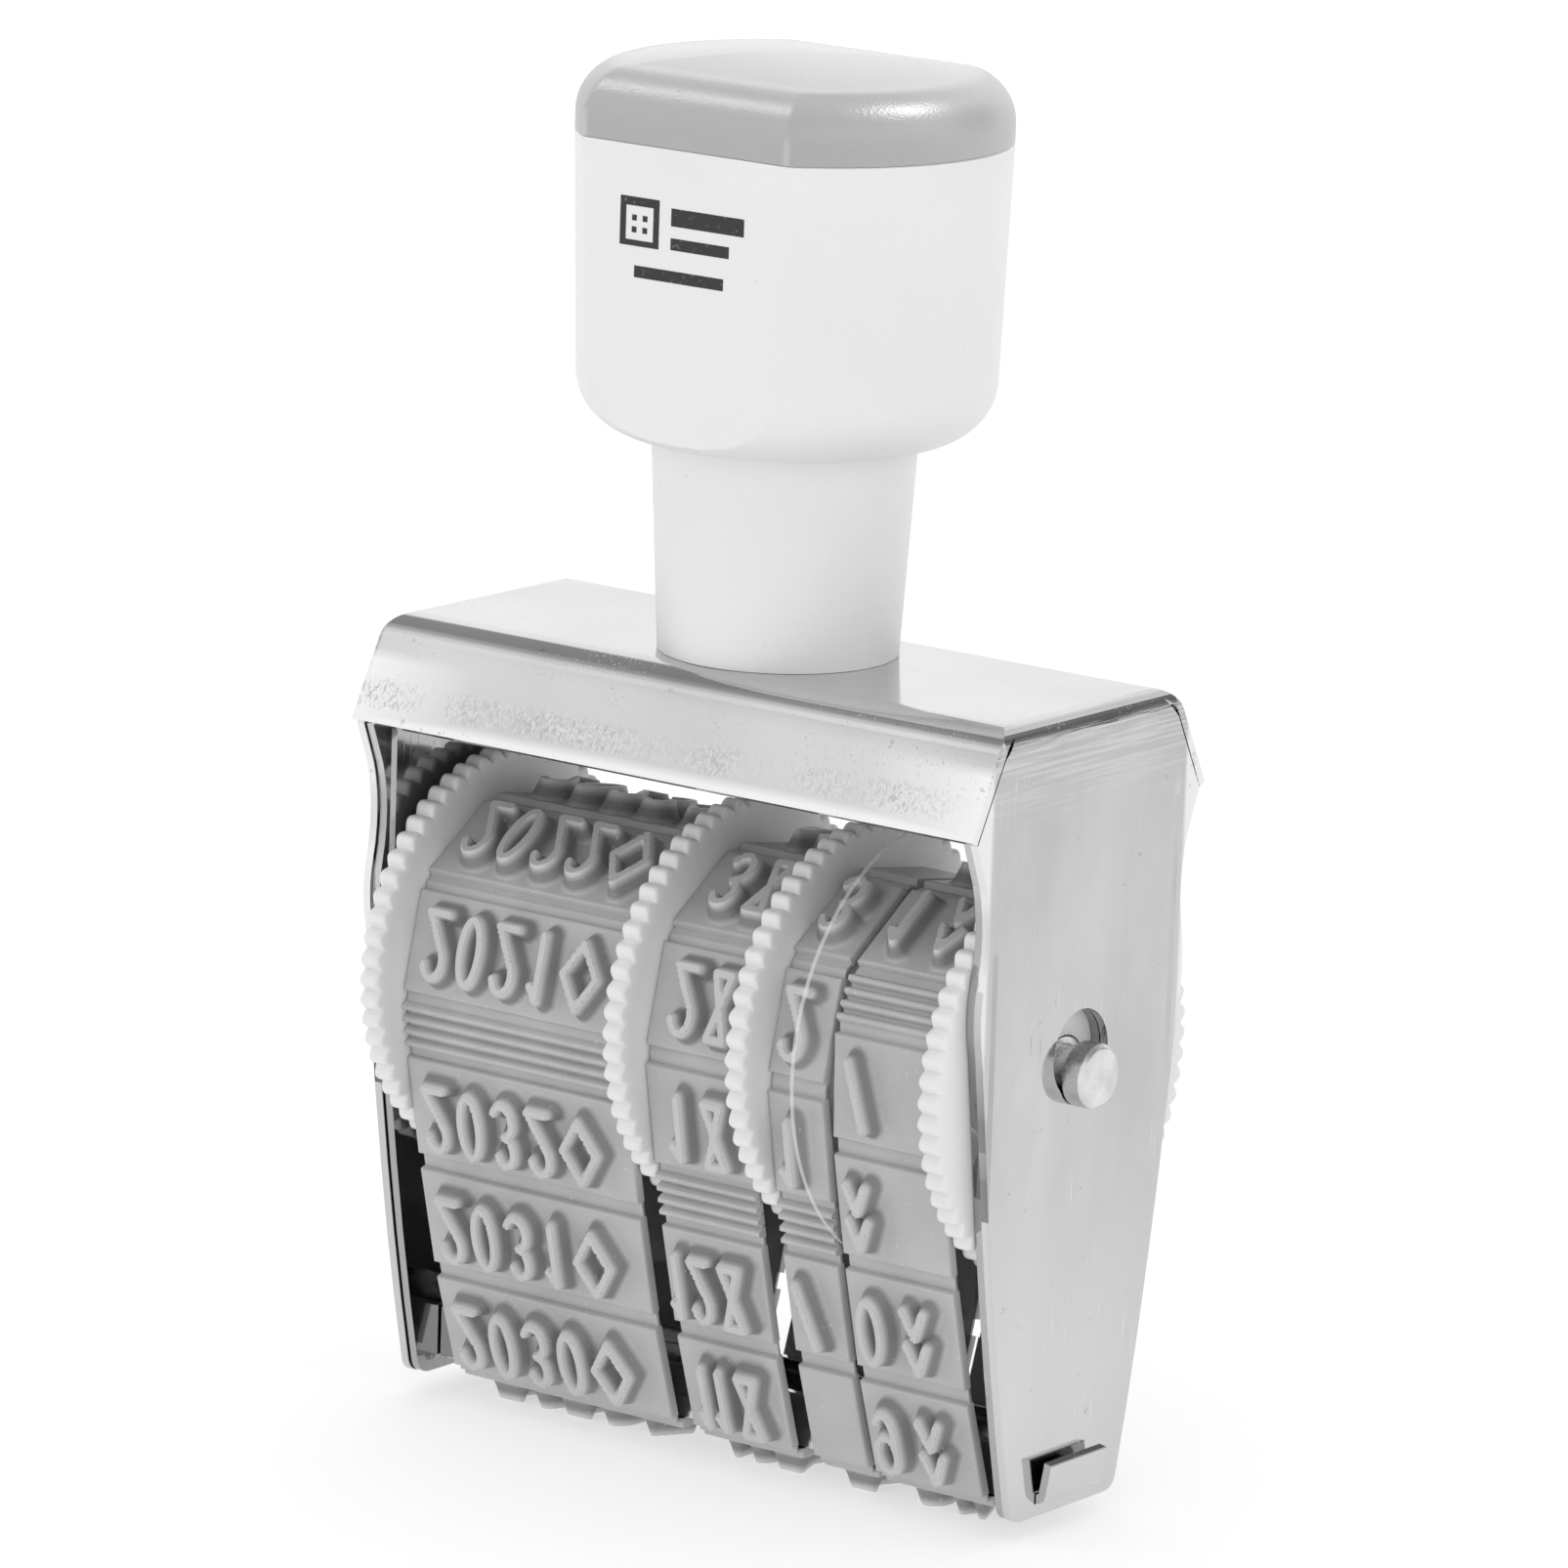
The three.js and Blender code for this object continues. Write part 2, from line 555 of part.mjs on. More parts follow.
function screwWasher() {
  const ring = cylinderZ(WASHER.radius, WASHER_TOP_Z - WASHER.thickness, WASHER_TOP_Z, 40);
  return cut(ring, cylinderZ(SCREW_HOLE_RADIUS, WASHER_TOP_Z - 2, WASHER_TOP_Z + 1));
}

// ---- The wheels and belts, from left to right ---------------------------------------------------------
/** The middles of a row's type blocks, spread evenly between two places across a belt. */
function evenBlocks(from, to, count) {
  return Array.from({ length: count }, (_, i) => from + (to - from) * i / (count - 1));
}

const WHEELS = [
  { name: 'year_wheel', discX: -24.4, drumX: -3.15 },
  { name: 'month_wheel', discX: -3.05, drumX: 7.3 },
  { name: 'tens_wheel', discX: 7.4, drumX: 13.8 },
  { name: 'units_wheel', discX: 23.5, drumX: 14.3 },
];

const BELTS = [
  {
    name: 'year_belt',
    x0: -22.7,
    x1: -3.2,
    ridgeAfter: 4,
    plain: [],
    blocks: evenBlocks(-20.5, -5.4, 5),
  },
  {
    name: 'month_belt',
    x0: -1.35,
    x1: 7.25,
    ridgeAfter: 3,
    plain: [],
    blocks: evenBlocks(0.9, 5, 2),
  },
  {
    name: 'tens_belt',
    x0: 9.1,
    x1: 13.75,
    ridgeAfter: 3,
    plain: [1, 7, 11],
    blocks: [11.4],
  },
  {
    name: 'units_belt',
    x0: 14.35,
    x1: 23.4,
    ridgeAfter: 5,
    plain: [],
    blocks: evenBlocks(16.6, 20.9, 2),
  },
];

// ---- Assembly -----------------------------------------------------------------------------------------
const stamp = new THREE.Group();
stamp.name = 'rotary_date_stamp';

stamp.add(meshOf('outer_cover', outerCover(), nickel));
stamp.add(meshOf('inner_bracket', innerBracket(), nickel));
stamp.add(meshOf('platen', platen(), nickel));

const axleGroup = new THREE.Group();
axleGroup.position.z = AXLE_Z;
axleGroup.add(meshOf('axle', axle(), steel));
for (const { name, discX, drumX } of WHEELS) {
  axleGroup.add(meshOf(name, thumbWheel(discX, drumX), whitePlastic));
}
axleGroup.add(meshOf('separator_disc', axleRing(SEPARATOR, 72), clearPlastic));
axleGroup.add(meshOf('axle_spacer', axleRing(SPACER, 32), steel));
stamp.add(axleGroup);

for (const belt of BELTS) {
  stamp.add(meshOf(belt.name, typeBelt(belt), rubber));
}

stamp.add(meshOf('handle_body', handleBody(), whitePlastic));
stamp.add(meshOf('handle_cap', handleCap(), greyPlastic));
stamp.add(meshOf('handle_screw', handleScrew(), steel));
stamp.add(meshOf('screw_washer', screwWasher(), steel));

export default stamp;
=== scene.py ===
"""Looks of the rotary date stamp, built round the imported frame.

Metres, in the frame's own axes: X along the axle, +Z up, the print face at z = 0.
"""

import math

import bmesh
import bpy
import numpy as np
from mathutils import Matrix, Vector


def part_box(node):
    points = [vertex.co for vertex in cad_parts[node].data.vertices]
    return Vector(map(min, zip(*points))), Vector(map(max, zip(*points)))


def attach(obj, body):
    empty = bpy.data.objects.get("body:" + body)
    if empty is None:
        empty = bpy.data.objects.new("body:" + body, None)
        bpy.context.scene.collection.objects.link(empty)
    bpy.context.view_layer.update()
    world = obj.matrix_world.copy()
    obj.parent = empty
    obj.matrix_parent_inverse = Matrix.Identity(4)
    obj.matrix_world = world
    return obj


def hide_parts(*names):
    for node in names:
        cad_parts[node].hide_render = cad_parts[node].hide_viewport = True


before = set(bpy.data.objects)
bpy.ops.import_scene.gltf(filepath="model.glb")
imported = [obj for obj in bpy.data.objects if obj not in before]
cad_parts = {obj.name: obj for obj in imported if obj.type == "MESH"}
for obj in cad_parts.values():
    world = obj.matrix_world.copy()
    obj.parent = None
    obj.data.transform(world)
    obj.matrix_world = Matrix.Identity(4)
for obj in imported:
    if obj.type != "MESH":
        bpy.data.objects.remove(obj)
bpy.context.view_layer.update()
MM = 0.001

# ---- Sizes, in millimetres unless said otherwise ------------------------------------------------------
AXLE_Z = 31.7
ROOF_TOP_Z = 56.6
FLAP_MIDDLE_Z = 52.8
FLAP_BOW = 14.0
HEAD_LOW_Z = 71.4
HEAD_RADIUS = 14.8
NECK_TOP_RADIUS = 9.05

BELT_CELLS = 12
RIDGE_LENGTH = 3.6
RIDGE_COUNT = 4
CELL_RISE = 0.55
CORE_RISE = 0.02
INNER_RISE = -0.2
CORE_INSET = 0.1
GROOVE_WIDTH = 1.15
DRUM_RADIUS = 10.1
BORE_RADIUS = 2.35
HINGE_DRUM_RADIUS = 11.3
HINGE_BOTTOM_Z = 2.05
HINGE_FLAT_HALF = 4.25
HINGE_CORNER_RADIUS = 0.3
SIDE_RUN_RADIUS = 200.0

TYPE_RELIEF = 1.5
TYPE_HEIGHT = 5.0
STROKE_HALF = 0.24
STROKE_DRAFT = 0.66
TYPE_STEP = 0.17
LIP = 0.13
DRAFT_CURVE = 1.35
LEAST_SLOPE = 0.3

WHEEL_THICKNESS = 1.6
TOOTH_COUNT = 60
TOOTH_DEPTH = 0.55
RIM_ROUND = 0.38
SAMPLES_PER_TOOTH = 10

CREASE_BLEND = 0.2
STEEPEST_CREASE = 0.985

# Where each look on a surface begins and where it is full, in metres.
FLAP_BOW_Y = (0.0098, 0.0104)
FLAP_SHINE_Y = (0.0108, 0.0112)
FLAP_MARKS_Y = (0.0112, 0.0114)
FLAP_HEM_Y = (0.0125, 0.0128)
FLAP_SHINE_X = (0.017, 0.026)
FLAP_HEM_Z = (0.0505, 0.0499)
MARKS_RISE_Z = (0.0504, 0.0508)
MARKS_FALL_Z = (0.0526, 0.0520)
END_FACE_X = (0.0262, 0.0264)
END_LINES_Z = (0.0495, 0.0548)
END_REFLECTION_Z = (0.010, 0.034)
CAP_CREASE_Y = (0.01192, 0.01206)
CAP_CREASE_REACH = (0.01455, 0.01474)
CAP_POLISH_Z = (0.0963, 0.0967)
SEPARATOR_RIM = (0.01538, 0.01546)


# ---- Node material helpers ----------------------------------------------------------------------------
class Nodes:
    """A node tree with short calls for adding and linking nodes."""

    def __init__(self, name):
        self.material = bpy.data.materials.new(name)
        self.material.use_nodes = True
        self.tree = self.material.node_tree
        self.shader = self.tree.nodes["Principled BSDF"]
        self.place = self.add("ShaderNodeTexCoord").outputs["Object"]

    def add(self, kind, **inputs):
        node = self.tree.nodes.new(kind)
        for key, value in inputs.items():
            self.set(node.inputs[key.replace("_", " ")], value)
        return node

    def set(self, socket, value):
        if isinstance(value, bpy.types.NodeSocket):
            self.tree.links.new(value, socket)
        else:
            socket.default_value = value

    def noise(self, scale, detail=3.0, stretch=(1, 1, 1), roughness=0.55):
        mapping = self.add("ShaderNodeMapping", Vector=self.place, Scale=stretch)
        node = self.add("ShaderNodeTexNoise", Scale=scale, Detail=detail, Roughness=roughness,
                        Vector=mapping.outputs["Vector"])
        return node.outputs["Fac"]

    def ramp(self, value, low, high, start=0.0, end=1.0):
        node = self.add("ShaderNodeMapRange", Value=value, From_Min=low, From_Max=high,
                        To_Min=start, To_Max=end)
        return node.outputs["Result"]

    def math(self, operation, a, b):
        node = self.add("ShaderNodeMath")
        node.operation = operation
        self.set(node.inputs[0], a)
        self.set(node.inputs[1], b)
        return node.outputs["Value"]

    def times(self, a, b):
        """The product of two values, such as two masks that both have to hold."""
        return self.math("MULTIPLY", a, b)

    def split(self):
        """X, Y and Z of the shaded point, in metres."""
        return self.add("ShaderNodeSeparateXYZ", Vector=self.place).outputs

    def distance(self, a, b):
        """How far a point lies from the origin, from its two coordinates."""
        return self.math("SQRT", self.math("ADD", self.times(a, a), self.times(b, b)), 0)

    def mix(self, share, first, second):
        node = self.add("ShaderNodeMix")
        node.data_type = "RGBA"
        self.set(node.inputs["Factor"], share)
        self.set(node.inputs[6], first)
        self.set(node.inputs[7], second)
        return node.outputs[2]

    def bump(self, height, strength, distance, normal=None):
        node = self.add("ShaderNodeBump", Height=height, Strength=strength, Distance=distance)
        if normal is not None:
            self.set(node.inputs["Normal"], normal)
        return node.outputs["Normal"]

    def finish(self, **inputs):
        for key, value in inputs.items():
            self.set(self.shader.inputs[key.replace("_", " ")], value)
        return self.material


def grey(value):
    """A neutral grey of a linear value."""
    return (value, value, value, 1.0)


# ---- Materials ----------------------------------------------------------------------------------------
def flap_marks(n, place, depth):
    """Light marks and dark pits of a fine press texture, in a band along each flap."""
    band = n.times(n.ramp(place["Z"], *MARKS_RISE_Z), n.ramp(place["Z"], *MARKS_FALL_Z))
    patches = n.ramp(n.noise(190, 1, stretch=(1, 0.3, 0.3)), 0.3, 0.62)
    struck = n.times(n.times(band, n.ramp(depth, *FLAP_MARKS_Y)), patches)
    stipple = n.noise(4300, 2, stretch=(1, 0.5, 0.5))
    marks = n.times(struck, n.ramp(stipple, 0.54, 0.6))
    pits = n.times(struck, n.ramp(stipple, 0.46, 0.4, 0, 0.6))
    return marks, pits


def sheet_tones(n, tone, place, width, depth):
    """The plate's grey: random haze, painted reflection and painted shade darkening the end faces, and
    painted highlights on the flap ends and hems.
    """
    on_end = n.ramp(width, *END_FACE_X)
    clouds = n.ramp(n.noise(45, 2, stretch=(1, 1, 0.4)), 0.35, 0.68)
    haze = n.mix(clouds, grey(tone * 0.88), grey(tone * 1.05))
    base = n.mix(n.ramp(n.noise(60, 4), 0.35, 0.7, 0, 0.3), haze, grey(tone * 1.08))
    # Painted reflection: the end faces are darkened in clouds that grow from 10 mm to 34 mm up, standing in
    # for the darker surroundings they reflect.
    blotch_noise = n.ramp(n.noise(75, 4, stretch=(1, 1, 0.5)), 0.4, 0.62, 0, 0.95)
    painted_reflection_dark = n.times(n.times(on_end, n.ramp(place["Z"], *END_REFLECTION_Z)), blotch_noise)
    reflection_darkened = n.mix(painted_reflection_dark, base, grey(tone * 0.8))
    near_bend = n.times(on_end, n.ramp(place["Z"], *END_LINES_Z, 0, 0.5))
    shadowed = n.mix(near_bend, reflection_darkened, grey(tone * 0.7))
    # Painted highlight: the flap ends and the flap's lower hem are made lighter, standing in for bright
    # reflections there.
    flap_end_highlight = n.times(n.ramp(width, *FLAP_SHINE_X), n.ramp(depth, *FLAP_SHINE_Y))
    flap_hem_highlight = n.times(n.ramp(place["Z"], *FLAP_HEM_Z), n.ramp(depth, *FLAP_HEM_Y))
    flap_highlight = n.times(n.math("MAXIMUM", flap_end_highlight, flap_hem_highlight), 0.8)
    return n.mix(flap_highlight, shadowed, grey(tone * 1.4))


def plated_sheet(name, tone):
    """Polished nickel plate: bowed flaps, faint waves, scuffs, spots, press marks and drawn lines."""
    n = Nodes(name)
    place = n.split()
    depth = n.math("ABSOLUTE", place["Y"], 0)
    width = n.math("ABSOLUTE", place["X"], 0)
    marks, pits = flap_marks(n, place, depth)
    hairlines = n.ramp(n.noise(5200, 1, stretch=(1, 1, 0.035)), 0.66, 0.72)
    scuffs = n.times(hairlines, n.ramp(n.noise(160, 3), 0.5, 0.66))
    end_band = n.times(n.ramp(place["Z"], *END_LINES_Z), n.ramp(width, *END_FACE_X))
    drawn = n.times(n.ramp(n.noise(3800, 3, stretch=(1, 0.03, 1)), 0.45, 0.6), end_band)
    worn = n.math("MAXIMUM", scuffs, n.math("MAXIMUM", marks, drawn))
    spots = n.ramp(n.noise(1100, 2), 0.7, 0.76, 0, 0.5)
    plate = sheet_tones(n, tone, place, width, depth)
    spotted = n.mix(n.math("MAXIMUM", spots, pits), plate, grey(tone * 0.6))
    rough = n.math("ADD", n.ramp(n.noise(60, 4), 0.3, 0.7, 0.05, 0.10), n.times(worn, 0.2))
    above = n.math("SUBTRACT", place["Z"], FLAP_MIDDLE_Z * MM)
    bow = n.times(n.times(above, above), n.ramp(depth, *FLAP_BOW_Y, 0, -FLAP_BOW))
    bowed = n.bump(bow, 1.0, 1.0)
    waves = n.bump(n.noise(34, 1), 0.2, 0.0006, bowed)
    grain = n.bump(n.noise(2600, 2, stretch=(0.03, 1, 1)), 0.03, 0.00004, waves)
    normal = n.bump(worn, 0.3, 0.00005, grain)
    return n.finish(Base_Color=n.mix(n.times(worn, 0.35), spotted, grey(0.85)), Metallic=1.0,
                    Roughness=rough, Normal=normal)


def turned_steel():
    """Bare steel with fine turning marks."""
    n = Nodes("turned_steel_looks")
    marks = n.noise(4200, 2, stretch=(0.25, 1, 1))
    blotch_noise = n.noise(420, 3)
    base = n.mix(n.ramp(blotch_noise, 0.4, 0.7), grey(0.74), grey(0.58))
    rough = n.ramp(marks, 0.3, 0.7, 0.2, 0.38)
    return n.finish(Base_Color=base, Metallic=1.0, Roughness=rough, Normal=n.bump(marks, 0.25, 0.00003))


def white_plastic(name, tone, gloss):
    """Satin white moulding: faint mottling, fine moulded grain and a few grey specks."""
    n = Nodes(name)
    mottle = n.noise(70, 3)
    specks = n.ramp(n.noise(1500, 1), 0.79, 0.81, 0, 0.3)
    base = n.mix(n.ramp(mottle, 0.3, 0.7), grey(tone), grey(tone * 0.965))
    dirty = n.mix(specks, base, grey(0.35))
    grain = n.noise(5200, 2)
    rough = n.ramp(mottle, 0.3, 0.7, gloss, gloss + 0.08)
    return n.finish(Base_Color=dirty, Roughness=rough, Subsurface_Weight=0.08, Subsurface_Scale=0.001,
                    Normal=n.bump(grain, 0.12, 0.00003))


def grey_plastic():
    """Grey moulding: a polished top, fine spark-eroded grain on its sides, and a painted highlight along the
    creases.
    """
    n = Nodes("grey_plastic_looks")
    place = n.split()
    depth = n.math("ABSOLUTE", place["Y"], 0)
    reach = n.distance(place["X"], place["Y"])
    # Painted highlight: the creases between the flats and the rounded sides are made paler.
    painted_edge_highlight = n.times(n.ramp(depth, *CAP_CREASE_Y), n.ramp(reach, *CAP_CREASE_REACH))
    mottle = n.noise(90, 3)
    base = n.mix(n.ramp(mottle, 0.3, 0.7), grey(0.335), grey(0.36))
    polish = n.ramp(place["Z"], *CAP_POLISH_Z)
    rough = n.math("SUBTRACT", n.ramp(mottle, 0.3, 0.7, 0.3, 0.36), n.times(polish, 0.19))
    grain = n.bump(n.noise(5200, 2), n.ramp(polish, 0, 1, 0.55, 0.15), 0.00005)
    return n.finish(Base_Color=n.mix(n.times(painted_edge_highlight, 0.5), base, grey(0.55)), Roughness=rough, IOR=1.9,
                    Normal=grain)


def belt_rubber():
    """Moulded grey rubber: matt hollows, painted shade on the type walls, painted highlights on the type's
    top edges, dust and a fine skin.
    """
    n = Nodes("belt_rubber_looks")
    relief = n.add("ShaderNodeAttribute")
    relief.attribute_name = "relief"
    height = relief.outputs["Fac"]
    mottle = n.noise(230, 4)
    base = n.mix(n.ramp(mottle, 0.3, 0.7), grey(0.43), grey(0.49))
    # Painted shade: the walls of the raised type are darkened.
    walls = n.times(n.ramp(height, 0.02, 0.25), n.ramp(height, 0.8, 0.55))
    shaded = n.mix(n.times(walls, 0.9), base, grey(0.21))
    # Painted highlight: the edges near the type's top faces are made paler.
    edges = n.times(n.ramp(height, 0.75, 0.92), n.ramp(height, 1.0, 0.95, 0.3, 1))
    painted_edge_highlight = n.mix(n.times(edges, 0.6), shaded, grey(0.72))
    dust = n.ramp(n.noise(3600, 2), 0.7, 0.76, 0, 0.6)
    rough = n.ramp(mottle, 0.3, 0.7, 0.42, 0.56)
    return n.finish(Base_Color=n.mix(dust, painted_edge_highlight, grey(0.75)), Roughness=rough,
                    Normal=n.bump(n.noise(2600, 3), 0.2, 0.00006))


def clear_plastic():
    """Thin clear sheet: see-through, with a soft gloss, faint hairlines and a painted highlight on its rim,
    where the white sheet is made more opaque.
    """
    n = Nodes("clear_plastic_looks")
    hairlines = n.ramp(n.noise(2200, 1, stretch=(1, 0.06, 1)), 0.68, 0.72)
    rough = n.ramp(hairlines, 0, 1, 0.08, 0.3)
    place = n.split()
    reach = n.distance(place["Y"], n.math("SUBTRACT", place["Z"], AXLE_Z * MM))
    # Painted highlight: the rim is made more opaque, so that it shows whiter.
    rim = n.ramp(reach, *SEPARATOR_RIM, 0, 0.35)
    faint = n.math("ADD", n.times(hairlines, 0.05), 0.035)
    return n.finish(Base_Color=grey(0.9), Roughness=rough, Alpha=n.math("ADD", faint, rim))


def black_ink():
    """Pad-printed black ink, a little broken up."""
    n = Nodes("black_ink_looks")
    breaks = n.ramp(n.noise(2400, 2), 0.62, 0.7)
    rough = n.ramp(breaks, 0, 1, 0.45, 0.6)
    return n.finish(Base_Color=n.mix(breaks, grey(0.015), grey(0.12)), Roughness=rough)


PLATED = plated_sheet("plated_sheet_looks", 0.61)
# A darker copy of the plated sheet for the inner bracket: painted shade for the dark inside of the stamp
# that it reflects.
SHADED_PLATED = plated_sheet("shaded_plated_looks", 0.42)
STEEL = turned_steel()
HANDLE_WHITE = white_plastic("handle_white_looks", 0.80, 0.36)
WHEEL_WHITE = white_plastic("wheel_white_looks", 0.78, 0.38)
CAP_GREY = grey_plastic()
RUBBER = belt_rubber()
CLEAR = clear_plastic()
INK = black_ink()


# ---- Mesh helpers -------------------------------------------------------------------------------------
def smooth_object(name, mesh, material, sharp_angle):
    """An object in one material, shaded smooth, with a crease where faces turn by more than the angle."""
    mesh.materials.clear()
    mesh.materials.append(material)
    mesh.shade_smooth()
    mesh.set_sharp_from_angle(angle=math.radians(sharp_angle))
    piece = bpy.data.objects.new(name, mesh)
    bpy.context.scene.collection.objects.link(piece)
    return piece


def new_piece(name, verts, faces, material, body, node=None, sharp_angle=35):
    """A mesh object that rides on a body and, where a node is given, stands for it."""
    mesh = bpy.data.meshes.new(name)
    mesh.from_pydata([tuple(v) for v in verts], [], faces)
    piece = smooth_object(name, mesh, material, sharp_angle)
    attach(piece, body)
    if node:
        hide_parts(node)
    return piece


def refined(node, name, material, body, bevel=0.08, sharp_angle=30):
    """A copy of a CAD node with its flat faces merged, its edges broken and its bends shaded round."""
    work = bmesh.new()
    work.from_mesh(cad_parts[node].data)
    bmesh.ops.remove_doubles(work, verts=work.verts, dist=1e-6)
    bmesh.ops.dissolve_limit(work, angle_limit=math.radians(1.0), verts=work.verts, edges=work.edges)
    mesh = bpy.data.meshes.new(name)
    work.to_mesh(mesh)
    work.free()
    piece = smooth_object(name, mesh, material, sharp_angle)
    edges = piece.modifiers.new("broken_edges", "BEVEL")
    edges.width = bevel * MM
    edges.segments = 3
    edges.limit_method = "ANGLE"
    edges.angle_limit = math.radians(sharp_angle)
    edges.harden_normals = True
    weights = piece.modifiers.new("flat_faces", "WEIGHTED_NORMAL")
    weights.keep_sharp = True
    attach(piece, body)
    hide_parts(node)
    return piece


def ring_faces(rings, count, closed_ends=True):
    """Quads between successive rings of count points, with the two end rings filled."""
    faces = []
    for ring in range(rings - 1):
        for i in range(count):
            j = (i + 1) % count
            a, b = ring * count, (ring + 1) * count
            faces.append((a + i, a + j, b + j, b + i))
    if closed_ends:
        faces.append(tuple(range(count))[::-1])
        faces.append(tuple(range((rings - 1) * count, rings * count)))
    return faces


# ---- Handle -------------------------------------------------------------------------------------------
def head_angles(radius, flat):
    """Angles round the head, set close together at the creases where the flats begin."""
    crease = math.asin(min(flat / radius, STEEPEST_CREASE))
    blend = 1.5 * CREASE_BLEND / radius
    quarter = np.concatenate([
        np.linspace(0, crease - blend, 36),
        np.linspace(crease - blend, crease + blend, 9)[1:-1],
        np.linspace(crease + blend, math.pi / 2, 24),
    ])
    half = np.concatenate([quarter, math.pi - quarter[-2::-1]])
    return np.concatenate([half, math.pi + half[1:-1]])


def head_ring(radius, flat, z):
    """A circle trimmed by two flats at y = +-flat, with the creases slightly rounded, in millimetres."""
    angle = head_angles(radius, flat)
    to_flat = flat / np.maximum(np.abs(np.sin(angle)), 1e-6)
    gap = np.clip((CREASE_BLEND - np.abs(to_flat - radius)) / CREASE_BLEND, 0, None)
    reach = np.minimum(to_flat, radius) - gap ** 2 * CREASE_BLEND / 4
    return np.column_stack([reach * np.cos(angle), reach * np.sin(angle), np.full(len(angle), z)])


def handle_body():
    """The head, rounded in below to a tapered neck that stands on the roof."""
    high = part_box("handle_body")[1]
    flat = high[1] / MM
    seam_z = high[2] / MM
    base_z = ROOF_TOP_Z + 0.02
    head_taper = 0.5
    side_height = 16
    foot_radius = 9.5
    neck_taper = 0.8
    head = [(HEAD_RADIUS - 0.08, seam_z), (HEAD_RADIUS, seam_z - 0.08)]
    side = [(HEAD_RADIUS - head_taper * t, seam_z - 0.25 - side_height * t) for t in np.linspace(0.1, 1, 6)]
    start_radius, start_z = side[-1]
    reach = start_radius - foot_radius
    depth = start_z - HEAD_LOW_Z
    turn = np.linspace(0, math.pi / 2, 16)[1:]
    under = [(foot_radius + reach * math.cos(a), start_z - depth * math.sin(a)) for a in turn]
    neck_z = HEAD_LOW_Z - 0.3
    neck = [(NECK_TOP_RADIUS + 0.02, HEAD_LOW_Z - 0.02), (NECK_TOP_RADIUS, neck_z)]
    for t in np.linspace(0.2, 1, 5):
        neck.append((NECK_TOP_RADIUS - neck_taper * t, neck_z - (neck_z - base_z) * t))
    rings = [head_ring(r, flat, z) for r, z in reversed(head + side + under + neck)]
    verts = np.concatenate(rings) * MM
    faces = ring_faces(len(rings), len(rings[0]))
    return new_piece("handle_moulding", verts, faces, HANDLE_WHITE, "frame", "handle_body",
                     28)


def handle_cap():
    """The cap: a rounded edge all round and a low crown on top."""
    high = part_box("handle_cap")[1]
    flat = high[1] / MM
    top_z = high[2] / MM
    seam_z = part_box("handle_body")[1][2] / MM + 0.02
    edge = 3.4
    crown = 0.85
    rings = [head_ring(HEAD_RADIUS - 0.05, flat - 0.05, seam_z), head_ring(HEAD_RADIUS, flat, seam_z + 0.05)]
    for a in np.linspace(0, math.pi / 2, 14):
        inset = edge * (1 - math.cos(a))
        z = top_z - crown - edge * (1 - math.sin(a))
        rings.append(head_ring(HEAD_RADIUS - inset, flat - inset, z))
    rim = rings[-1]
    for scale in np.linspace(0.94, 0.04, 16):
        ring = rim * [scale, scale, 1]
        ring[:, 2] = top_z - crown * scale ** 2
        rings.append(ring)
    verts = np.concatenate(rings) * MM
    faces = ring_faces(len(rings), len(rings[0]))
    return new_piece("handle_cap_moulding", verts, faces, CAP_GREY, "frame", "handle_cap", 28)


# ---- Wheels -------------------------------------------------------------------------------------------
def wheel_piece(node):
    """A thumb wheel with rounded teeth, turned rims, and its drum in one moulding."""
    low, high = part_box(node)
    units = node == "units_wheel"
    tip = (high[2] - low[2]) / 2 / MM
    x0, x1 = low[0] / MM, high[0] / MM
    disc = (x1 - WHEEL_THICKNESS, x1) if units else (x0, x0 + WHEEL_THICKNESS)
    count = TOOTH_COUNT * SAMPLES_PER_TOOTH
    angle = np.linspace(0, 2 * math.pi, count, endpoint=False)
    wave = np.abs(np.cos(angle * TOOTH_COUNT / 2)) ** 1.1
    rim = tip - TOOTH_DEPTH * (1 - wave)

    def ring(radius, x):
        reach = np.broadcast_to(radius, count)
        return np.column_stack([np.full(count, x), reach * np.cos(angle), AXLE_Z + reach * np.sin(angle)])

    land = 1.4
    fillet = 0.3
    hub_radius = BORE_RADIUS + 3
    turns = np.linspace(0, math.pi / 2, 6)
    edge = [(RIM_ROUND * (1 - math.sin(a)), RIM_ROUND * (1 - math.cos(a))) for a in turns]
    near = [ring(BORE_RADIUS, disc[0]), ring(hub_radius, disc[0]), ring(tip - land, disc[0])]
    near += [ring(rim - drop, disc[0] + inward) for drop, inward in edge]
    far = [ring(rim - drop, disc[1] - inward) for drop, inward in reversed(edge)]
    far += [ring(tip - land, disc[1]), ring(DRUM_RADIUS + fillet, disc[1]),
            ring(DRUM_RADIUS, disc[1] + fillet), ring(DRUM_RADIUS, x1), ring(BORE_RADIUS, x1)]
    if units:
        near = [ring(BORE_RADIUS, x0), ring(DRUM_RADIUS, x0), ring(DRUM_RADIUS, disc[0] - fillet),
                ring(DRUM_RADIUS + fillet, disc[0])] + near[2:]
        far = far[:len(edge) + 1] + [ring(hub_radius, disc[1]), ring(BORE_RADIUS, disc[1])]
    rings = near + far
    verts = np.concatenate(rings) * MM
    faces = ring_faces(len(rings), count, closed_ends=False)
    last = (len(rings) - 1) * count
    faces += [(last + i, last + (i + 1) % count, (i + 1) % count, i) for i in range(count)]
    return new_piece(node + "_moulding", verts, faces, WHEEL_WHITE, node, node, 62)


